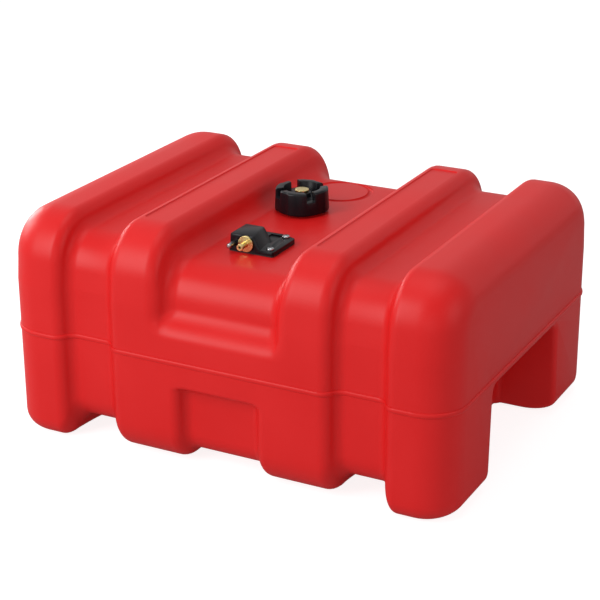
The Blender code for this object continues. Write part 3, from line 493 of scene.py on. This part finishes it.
def prism(outline, low, high):
    bm = bmesh.new()
    base = bm.faces.new([bm.verts.new((x, y, low)) for x, y in outline])
    made = bmesh.ops.extrude_face_region(bm, geom=[base])
    raised = [item for item in made["geom"] if isinstance(item, bmesh.types.BMVert)]
    bmesh.ops.translate(bm, verts=raised, vec=(0.0, 0.0, high - low))
    bmesh.ops.recalc_face_normals(bm, faces=bm.faces)
    return bm


def middle_of(node):
    low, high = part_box(node)
    return (low + high) / 2


def copy_of_node(node, name):
    """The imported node's mesh as a piece of its own, with its loose triangles merged into flat faces."""
    bm = bmesh.new()
    bm.from_mesh(frame["nodes"][node].data)
    bmesh.ops.remove_doubles(bm, verts=bm.verts, dist=SLIVER)
    bmesh.ops.dissolve_limit(bm, angle_limit=FLAT_ANGLE, verts=bm.verts, edges=bm.edges)
    mesh = bpy.data.meshes.new(name)
    bm.to_mesh(mesh)
    bm.free()
    obj = bpy.data.objects.new(name, mesh)
    bpy.context.scene.collection.objects.link(obj)
    return obj


# Materials


def new_material(name, colour, roughness, metallic=0.0):
    material = bpy.data.materials.new(name)
    material.use_nodes = True
    shader = material.node_tree.nodes["Principled BSDF"]
    shader.inputs["Base Color"].default_value = (*colour, 1.0)
    shader.inputs["Roughness"].default_value = roughness
    shader.inputs["Metallic"].default_value = metallic
    return material


def noise(tree, scale, detail=WAVE_DETAIL):
    place = tree.nodes.new("ShaderNodeTexCoord")
    texture = tree.nodes.new("ShaderNodeTexNoise")
    texture.inputs["Scale"].default_value = scale
    texture.inputs["Detail"].default_value = detail
    tree.links.new(place.outputs["Object"], texture.inputs["Vector"])
    return texture


def bump(tree, height, strength, distance, below=None):
    node = tree.nodes.new("ShaderNodeBump")
    node.inputs["Strength"].default_value = strength
    node.inputs["Distance"].default_value = distance
    tree.links.new(height, node.inputs["Height"])
    if below:
        tree.links.new(below.outputs["Normal"], node.inputs["Normal"])
    return node


def spread(tree, value, low, high):
    """Maps a texture's middle range to low and high."""
    node = tree.nodes.new("ShaderNodeMapRange")
    node.inputs["From Min"].default_value = NOISE_LOW
    node.inputs["From Max"].default_value = NOISE_HIGH
    node.inputs["To Min"].default_value = low
    node.inputs["To Max"].default_value = high
    tree.links.new(value, node.inputs["Value"])
    return node.outputs["Result"]


def moulded_plastic(name, colour, darker, roughness, grain, grain_depth):
    """Moulded plastic: a fine grain, slow waves in the wall and a faint drift of colour and gloss."""
    material = new_material(name, colour, roughness)
    tree = material.node_tree
    shader = tree.nodes["Principled BSDF"]
    waves = noise(tree, WAVE_SCALE)
    fine = noise(tree, grain, GRAIN_DETAIL)
    mix = tree.nodes.new("ShaderNodeMix")
    mix.data_type = "RGBA"
    mix.inputs["A"].default_value = (*darker, 1.0)
    mix.inputs["B"].default_value = (*colour, 1.0)
    tree.links.new(spread(tree, waves.outputs["Fac"], 0.0, 1.0), mix.inputs["Factor"])
    tree.links.new(mix.outputs["Result"], shader.inputs["Base Color"])
    gloss = spread(tree, waves.outputs["Fac"], roughness - PLASTIC_DRIFT, roughness + PLASTIC_DRIFT)
    tree.links.new(gloss, shader.inputs["Roughness"])
    slow = bump(tree, waves.outputs["Fac"], WAVE_STRENGTH, WAVE_DEPTH)
    grained = bump(tree, fine.outputs["Fac"], GRAIN_STRENGTH, grain_depth, slow)
    tree.links.new(grained.outputs["Normal"], shader.inputs["Normal"])
    return material


def turned_metal(name, colour, roughness, depth):
    """Metal off a lathe or a stamping: bright, with a fine uneven grain."""
    material = new_material(name, colour, roughness, 1.0)
    tree = material.node_tree
    shader = tree.nodes["Principled BSDF"]
    fine = noise(tree, METAL_GRAIN_SCALE)
    gloss = spread(tree, fine.outputs["Fac"], roughness - METAL_SMOOTHER, roughness + METAL_ROUGHER)
    tree.links.new(gloss, shader.inputs["Roughness"])
    grained = bump(tree, fine.outputs["Fac"], METAL_GRAIN_STRENGTH, depth)
    tree.links.new(grained.outputs["Normal"], shader.inputs["Normal"])
    return material


# Shapes that follow a path or repeat, each from its own node tree


def node_tree(name, sizes):
    tree = bpy.data.node_groups.new(name, "GeometryNodeTree")
    tree.interface.new_socket("Geometry", in_out="INPUT", socket_type="NodeSocketGeometry")
    for size in sizes:
        tree.interface.new_socket(size, in_out="INPUT", socket_type="NodeSocketFloat")
    tree.interface.new_socket("Geometry", in_out="OUTPUT", socket_type="NodeSocketGeometry")
    return tree, tree.nodes.new("NodeGroupInput"), tree.nodes.new("NodeGroupOutput")


def close_tree(tree, made, material, ending):
    """Ends a tree in real geometry with its material."""
    realize = tree.nodes.new("GeometryNodeRealizeInstances")
    finish = tree.nodes.new("GeometryNodeSetMaterial")
    finish.inputs["Material"].default_value = material
    tree.links.new(made, realize.inputs["Geometry"])
    tree.links.new(realize.outputs["Geometry"], finish.inputs["Geometry"])
    tree.links.new(finish.outputs["Geometry"], ending.inputs["Geometry"])


def made_by(tree, sizes, path):
    """Runs a tree on a path's mesh and keeps the result as a plain mesh, named as the path."""
    obj = bpy.data.objects.new(path.name, path)
    bpy.context.scene.collection.objects.link(obj)
    modifier = obj.modifiers.new(tree.name, "NODES")
    modifier.node_group = tree
    for socket in tree.interface.items_tree:
        if socket.in_out == "INPUT" and socket.name in sizes:
            modifier[socket.identifier] = sizes[socket.name]
    apply_modifiers(obj)
    obj.data.shade_smooth()
    return obj


def bead_tree(material):
    """A rounded bead or thread along the object's edges, from a circle one unit across."""
    tree, start, ending = node_tree("moulded_bead", ("Width", "Height"))
    path = tree.nodes.new("GeometryNodeMeshToCurve")
    upright = tree.nodes.new("GeometryNodeSetCurveNormal")
    upright.mode = "Z_UP"
    circle = tree.nodes.new("GeometryNodeCurvePrimitiveCircle")
    circle.inputs["Resolution"].default_value = BEAD_SIDES
    circle.inputs["Radius"].default_value = 0.5
    shape = tree.nodes.new("GeometryNodeTransform")
    scale = tree.nodes.new("ShaderNodeCombineXYZ")
    scale.inputs["Z"].default_value = 1.0
    sweep = tree.nodes.new("GeometryNodeCurveToMesh")
    sweep.inputs["Fill Caps"].default_value = True
    tree.links.new(start.outputs["Geometry"], path.inputs["Mesh"])
    tree.links.new(path.outputs["Curve"], upright.inputs["Curve"])
    tree.links.new(start.outputs["Width"], scale.inputs["X"])
    tree.links.new(start.outputs["Height"], scale.inputs["Y"])
    tree.links.new(circle.outputs["Curve"], shape.inputs["Geometry"])
    tree.links.new(scale.outputs["Vector"], shape.inputs["Scale"])
    tree.links.new(upright.outputs["Curve"], sweep.inputs["Curve"])
    tree.links.new(shape.outputs["Geometry"], sweep.inputs["Profile Curve"])
    close_tree(tree, sweep.outputs["Mesh"], material, ending)
    return tree


def path_mesh(name, rows, closed=False):
    """Rows of points as chains of edges, each joined up into a ring where closed."""
    points = [point for row in rows for point in row]
    edges = []
    for row in rows:
        first = points.index(row[0])
        edges += [(first + i, first + i + 1) for i in range(len(row) - 1)]
        if closed:
            edges.append((first + len(row) - 1, first))
    mesh = bpy.data.meshes.new(name)
    mesh.from_pydata(points, edges, [])
    return mesh


def thread_row(place, radius, low, high, pitch):
    """Points of a right-handed helix, from low to high."""
    count = round(THREAD_STEPS * (high - low) / pitch)
    points = []
    for step in range(count + 1):
        turn = math.tau * step / THREAD_STEPS
        height = low + pitch * turn / math.tau
        points.append((place[0] + radius * math.cos(turn), place[1] + radius * math.sin(turn), height))
    return points


def copies_tree(material, source):
    """A copy of the source object on each point of the path, each turned by its own fixed chance amount."""
    tree, start, ending = node_tree("copies_on_points", ("Turn",))
    shape = tree.nodes.new("GeometryNodeObjectInfo")
    shape.inputs["Object"].default_value = source
    chance = tree.nodes.new("FunctionNodeRandomValue")
    chance.inputs["Seed"].default_value = SCREW_TURN_SEED
    turn = tree.nodes.new("ShaderNodeCombineXYZ")
    place = tree.nodes.new("GeometryNodeInstanceOnPoints")
    tree.links.new(start.outputs["Turn"], chance.inputs[CHANCE_HIGHEST])
    tree.links.new(chance.outputs[CHANCE_RESULT], turn.inputs["Z"])
    tree.links.new(start.outputs["Geometry"], place.inputs["Points"])
    tree.links.new(shape.outputs["Geometry"], place.inputs["Instance"])
    tree.links.new(turn.outputs["Vector"], place.inputs["Rotation"])
    close_tree(tree, place.outputs["Instances"], material, ending)
    return tree


# Making


def ring_cutter():
    """Turned cutter that leaves a round-bottomed ring groove in the recess's floor."""
    radius = ((RING_WIDTH / 2) ** 2 + RING_DEPTH ** 2) / (2 * RING_DEPTH)
    middle = (RING_RADIUS, RECESS_FLOOR - RING_DEPTH + radius)
    return turned(arc(middle, radius, 0.0, math.tau, RING_STEPS)[:-1], RING_PLACE, FINE_STEPS)


def make_body(red):
    outside = body_skin(0.0, BODY_STEPS)
    inside = body_skin(WALL, INSIDE_STEPS)
    bmesh.ops.reverse_faces(inside, faces=inside.faces)
    mesh = bpy.data.meshes.new("inside")
    inside.to_mesh(mesh)
    inside.free()
    outside.from_mesh(mesh)
    body = add_object("tank_body", outside, red)
    root = RECESS_FLOOR - WALL / 2
    below = RECESS_FLOOR - BOSS_DEPTH
    neck = rod(NECK_RADIUS, root, NECK_TOP, CAP_PLACE, FINE_STEPS)
    cut(body, add_object("neck", neck, red), "UNION")
    for screw in SCREWS:
        place = middle_of(screw).xy
        cut(body, add_object("boss", rod(BOSS_RADIUS, below, root, place), red), "UNION")
        hole = rod(INSERT_HOLE_RADIUS, RECESS_FLOOR - INSERT_HOLE_DEPTH, RECESS_FLOOR + WALL, place)
        cut(body, add_object("insert_hole", hole, red))
    bore = rod(NECK_BORE, below, NECK_TOP + WALL, CAP_PLACE, FINE_STEPS)
    cut(body, add_object("neck_bore", bore, red))
    collar_hole = rod(COLLAR_HOLE_RADIUS, below, RECESS_FLOOR + WALL, COLLAR_PLACE)
    cut(body, add_object("collar_hole", collar_hole, red))
    cut(body, add_object("ring_groove", ring_cutter(), red))
    body.data.shade_smooth()
    body.data.set_sharp_from_angle(angle=CREASE_ANGLE)
    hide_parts("tank_shell")
    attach(body, "tank")

    tree = bead_tree(red)
    belt = [(x, y, PARTING_HEIGHT) for x, y in belt_outline(BODY_STEPS)]
    path = path_mesh("parting_bead", [belt], closed=True)
    parting = made_by(tree, {"Width": 2 * BEAD_DEPTH, "Height": BEAD_WIDTH}, path)
    low = RECESS_FLOOR + NECK_THREAD_EDGE
    high = NECK_TOP - NECK_THREAD_EDGE
    helix = thread_row(CAP_PLACE, NECK_RADIUS, low, high, NECK_THREAD_PITCH)
    sizes = {"Width": 2 * NECK_THREAD_REACH, "Height": NECK_THREAD_WIDTH}
    thread = made_by(tree, sizes, path_mesh("neck_thread", [helix]))
    for piece in (parting, thread):
        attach(piece, "tank")


def soften(obj):
    modifier = obj.modifiers.new("soft_edges", "BEVEL")
    modifier.width = MOULDING_EDGE
    modifier.segments = MOULDING_EDGE_STEPS
    modifier.limit_method = "ANGLE"
    modifier.angle_limit = SOFTENED_ANGLE
    modifier.use_clamp_overlap = True
    apply_modifiers(obj)
    obj.data.shade_smooth()
    obj.data.set_sharp_from_angle(angle=MOULDING_CREASE_ANGLE)


def make_mouldings(black):
    for node, body in (("fill_cap", "cap"), ("outlet_housing", "tank")):
        piece = copy_of_node(node, node + "_moulding")
        soften(piece)
        piece.data.materials.clear()
        piece.data.materials.append(black)
        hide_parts(node)
        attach(piece, body)
    low = RECESS_FLOOR + NECK_THREAD_EDGE + NECK_THREAD_PITCH / 2
    helix = thread_row(CAP_PLACE, CAP_SKIRT_BORE, low, low + CAP_THREAD_RISE, NECK_THREAD_PITCH)
    sizes = {"Width": 2 * NECK_THREAD_REACH, "Height": NECK_THREAD_WIDTH}
    thread = made_by(bead_tree(black), sizes, path_mesh("cap_thread", [helix]))
    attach(thread, "cap")


def make_vent(brass):
    tip, top = (corner.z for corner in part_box("vent_screw"))
    head = top - VENT_HEAD_HEIGHT
    clip = VENT_CLIP_LEVEL
    edge = VENT_EDGE_ROUNDING
    rim = VENT_HEAD_RADIUS - edge
    knob = [
        (0.0, tip), (VENT_CORE, tip), (VENT_CORE, clip - VENT_CLIP_HEIGHT),
        (VENT_CLIP_CORE, clip - VENT_CLIP_HEIGHT), (VENT_CLIP_CORE, clip),
        (VENT_CORE, clip), (VENT_CORE, head),
    ]
    knob += arc((rim, head + edge), edge, -math.pi / 2, 0.0, EDGE_STEPS)
    knob += arc((rim, top - edge), edge, 0.0, math.pi / 2, EDGE_STEPS)
    knob.append((0.0, top))
    piece = add_object("vent_knob_and_shank", turned(knob, CAP_PLACE, FINE_STEPS), brass)
    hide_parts("vent_screw")
    low = clip + VENT_THREAD_PITCH
    high = head - VENT_THREAD_PITCH
    helix = thread_row(CAP_PLACE, VENT_CORE, low, high, VENT_THREAD_PITCH)
    sizes = {"Width": 2 * SMALL_THREAD_REACH, "Height": VENT_THREAD_PITCH / 2}
    thread = made_by(bead_tree(brass), sizes, path_mesh("vent_thread", [helix]))
    for part in (piece, thread):
        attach(part, "vent_knob")


def make_connector(brass, steel):
    low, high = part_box("fuel_nipple")
    place = ((low.x + high.x) / 2, OUTLET_FRONT, (low.z + high.z) / 2)
    tip = OUTLET_FRONT - low.y
    end = OUTLET_FRONT - high.y
    face = DISC_THICKNESS - DISC_SEAT
    collar = tip - NIPPLE_END_LENGTH
    edge = NIPPLE_EDGE
    core = SHANK_RADIUS - SEAL_GROOVE_DEPTH
    outline = [
        (NIPPLE_BORE, end), (SHANK_RADIUS, end), (SHANK_RADIUS, -DISC_SEAT - SEAL_GROOVE_WIDTH),
        (core, -DISC_SEAT - SEAL_GROOVE_WIDTH), (core, -DISC_SEAT), (DISC_RADIUS, -DISC_SEAT),
    ]
    outline += arc((DISC_RADIUS - edge, face - edge), edge, 0.0, math.pi / 2, EDGE_STEPS)
    outline += arc((NIPPLE_RADIUS + edge, face + edge), edge, 1.5 * math.pi, math.pi, EDGE_STEPS)
    outline += [(NIPPLE_RADIUS, collar - edge), (NIPPLE_END_RADIUS, collar)]
    outline += arc((NIPPLE_END_RADIUS - edge, tip - edge), edge, 0.0, math.pi / 2, EDGE_STEPS)
    outline += [(NIPPLE_BORE + edge, tip), (NIPPLE_BORE, tip - edge)]
    nipple = add_object("nipple_and_disc", along_y(turned(outline, steps=FINE_STEPS), place), brass)
    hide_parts("fuel_nipple")

    low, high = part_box("guide_pin")
    place = ((low.x + high.x) / 2, OUTLET_FRONT, (low.z + high.z) / 2)
    tip = OUTLET_FRONT - low.y
    end = OUTLET_FRONT - high.y
    nose = PIN_RADIUS / 2
    outline = [(0.0, end), (PIN_RADIUS, end)]
    outline += arc((PIN_RADIUS - nose, tip - nose), nose, 0.0, math.pi / 2, NOSE_STEPS)
    outline.append((0.0, tip))
    pin = add_object("round_nosed_pin", along_y(turned(outline), place), steel)
    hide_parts("guide_pin")
    for piece in (nipple, pin):
        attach(piece, "tank")


def make_screws(steel):
    """The three pan heads with their crosses, copied from one screw, and the threads on their shanks."""
    tip, top = (corner.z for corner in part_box(SCREWS[0]))
    seat = top - SCREW_HEAD_HEIGHT
    shoulder = seat + SCREW_HEAD_EDGE
    dome = SCREW_HEAD_HEIGHT - SCREW_HEAD_EDGE
    outline = [(0.0, tip - seat), (SCREW_CORE, tip - seat), (SCREW_CORE, 0.0), (SCREW_HEAD_RADIUS, 0.0)]
    quarter = arc((0.0, 0.0), 1.0, 0.0, math.pi / 2, DOME_STEPS)
    outline += [(SCREW_HEAD_RADIUS * out, shoulder - seat + dome * up) for out, up in quarter]
    source = add_object("pan_screw", turned(outline), steel)
    half_long = CROSS_LENGTH / 2
    half_wide = CROSS_WIDTH / 2
    corner = [(half_wide, half_long), (half_wide, half_wide), (half_long, half_wide)]
    cross = []
    for arm in range(4):
        turn = Matrix.Rotation(-math.pi / 2 * arm, 2)
        cross += [tuple(turn @ Vector(point)) for point in corner]
    crown = SCREW_HEAD_HEIGHT
    cut(source, add_object("cross_recess", prism(cross, crown - CROSS_DEPTH, crown + CROSS_DEPTH), steel))

    spots = [middle_of(screw).xy for screw in SCREWS]
    path = path_mesh("flange_screws", [[(*spot, seat)] for spot in spots])
    screws = made_by(copies_tree(steel, source), {"Turn": math.tau}, path)
    screws.data.set_sharp_from_angle(angle=SCREW_CREASE_ANGLE)
    bpy.data.objects.remove(source)
    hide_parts(*SCREWS)
    low = tip + SCREW_THREAD_PITCH
    high = seat - SCREW_THREAD_PITCH
    helices = [thread_row(spot, SCREW_CORE, low, high, SCREW_THREAD_PITCH) for spot in spots]
    sizes = {"Width": 2 * SMALL_THREAD_REACH, "Height": SCREW_THREAD_WIDTH}
    threads = made_by(bead_tree(steel), sizes, path_mesh("screw_threads", helices))
    for piece in (screws, threads):
        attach(piece, "tank")


def add_softbox(name, place, aim, size, power):
    lamp = bpy.data.lights.new(name, "AREA")
    lamp.shape = "RECTANGLE"
    lamp.size, lamp.size_y = size
    lamp.energy = power
    obj = bpy.data.objects.new(name, lamp)
    obj.location = place
    obj.rotation_euler = (Vector(aim) - Vector(place)).to_track_quat("-Z", "Y").to_euler()
    bpy.context.scene.collection.objects.link(obj)


def math_node(tree, operation, first, second):
    """Joins two values, each a socket or a number."""
    node = tree.nodes.new("ShaderNodeMath")
    node.operation = operation
    for socket, value in zip(node.inputs, (first, second)):
        if isinstance(value, bpy.types.NodeSocket):
            tree.links.new(value, socket)
        else:
            socket.default_value = value
    return node.outputs["Value"]


def seen_directly(tree, glossy_share, diffuse_share=0.0):
    """1 for what the camera sees, itself or through glass, and a share on glossy and on matt surfaces."""
    path = tree.nodes.new("ShaderNodeLightPath")
    glossy = math_node(tree, "MULTIPLY", path.outputs["Is Glossy Ray"], glossy_share)
    diffuse = math_node(tree, "MULTIPLY", path.outputs["Is Diffuse Ray"], diffuse_share)
    bounced = math_node(tree, "MAXIMUM", glossy, diffuse)
    seen = math_node(tree, "MAXIMUM", path.outputs["Is Camera Ray"], path.outputs["Is Transmission Ray"])
    return math_node(tree, "MAXIMUM", seen, bounced)


def make_studio():
    world = bpy.data.worlds.new("studio")
    bpy.context.scene.world = world
    world.use_nodes = True
    tree = world.node_tree
    background = tree.nodes["Background"]
    background.inputs["Color"].default_value = (1.0, 1.0, 1.0, 1.0)
    strength = tree.nodes.new("ShaderNodeMapRange")
    strength.inputs["To Min"].default_value = WORLD_LIGHT
    strength.inputs["To Max"].default_value = 1.0
    tree.links.new(seen_directly(tree, WORLD_GLOSSY_SHARE), strength.inputs["Value"])
    tree.links.new(strength.outputs["Result"], background.inputs["Strength"])

    bm = bmesh.new()
    bmesh.ops.create_grid(bm, x_segments=1, y_segments=1, size=FLOOR_HALF_WIDTH)
    floor_finish = new_material("studio_floor", FLOOR_COLOUR, FLOOR_ROUGHNESS)
    tree = floor_finish.node_tree
    shader = tree.nodes["Principled BSDF"]
    shader.inputs["Emission Color"].default_value = (1.0, 1.0, 1.0, 1.0)
    seen = seen_directly(tree, FLOOR_GLOSSY_SHARE, FLOOR_DIFFUSE_SHARE)
    glow = math_node(tree, "MULTIPLY", seen, FLOOR_GLOW)
    tree.links.new(glow, shader.inputs["Emission Strength"])
    floor = add_object("floor", bm, floor_finish)
    floor.location.z = FLOOR_LEVEL

    middle = (0.0, 0.0, TANK_HEIGHT / 2)
    for name, place, size, power in SOFTBOXES:
        add_softbox(name, place, middle, size, power)


def make_camera():
    yaw = math.radians(CAMERA_YAW)
    pitch = math.radians(CAMERA_PITCH)
    roll = math.radians(CAMERA_ROLL)
    distance = CAMERA_DISTANCE * TANK_LENGTH
    aside = CAMERA_ASIDE * TANK_LENGTH
    above = CAMERA_ABOVE * TANK_LENGTH
    back = Vector((math.sin(yaw) * math.cos(pitch), -math.cos(yaw) * math.cos(pitch), math.sin(pitch)))
    right = Vector((math.cos(yaw), math.sin(yaw), 0.0))
    up = back.cross(right)
    tilted_right = right * math.cos(roll) + up * math.sin(roll)
    tilted_up = up * math.cos(roll) - right * math.sin(roll)
    place = Vector((0.0, 0.0, TANK_HEIGHT / 2)) + tilted_right * aside + tilted_up * above + back * distance
    lens = bpy.data.cameras.new("camera")
    lens.lens = CAMERA_LENS
    lens.sensor_width = CAMERA_SENSOR
    camera = bpy.data.objects.new("camera", lens)
    aim = Matrix((tilted_right, tilted_up, back)).transposed().to_4x4()
    camera.matrix_world = Matrix.Translation(place) @ aim
    bpy.context.scene.collection.objects.link(camera)
    bpy.context.scene.camera = camera


def main():
    bpy.context.scene.view_settings.view_transform = "Standard"
    make_camera()
    make_studio()
    finishes = {name: moulded_plastic(name, *values) for name, values in PLASTICS.items()}
    finishes |= {name: turned_metal(name, *values) for name, values in METALS.items()}
    for name, level in SPECULAR_LEVELS.items():
        shader = finishes[name].node_tree.nodes["Principled BSDF"]
        shader.inputs["Specular IOR Level"].default_value = level
    for subpart in frame["record"]["subparts"]:
        node = frame["nodes"][subpart["node"]]
        node.data.materials.clear()
        node.data.materials.append(finishes[subpart["material_slot"]])
    make_body(finishes["red_polyethylene"])
    make_mouldings(finishes["black_plastic"])
    make_vent(finishes["brass"])
    make_connector(finishes["brass"], finishes["stainless_steel"])
    make_screws(finishes["stainless_steel"])


main()
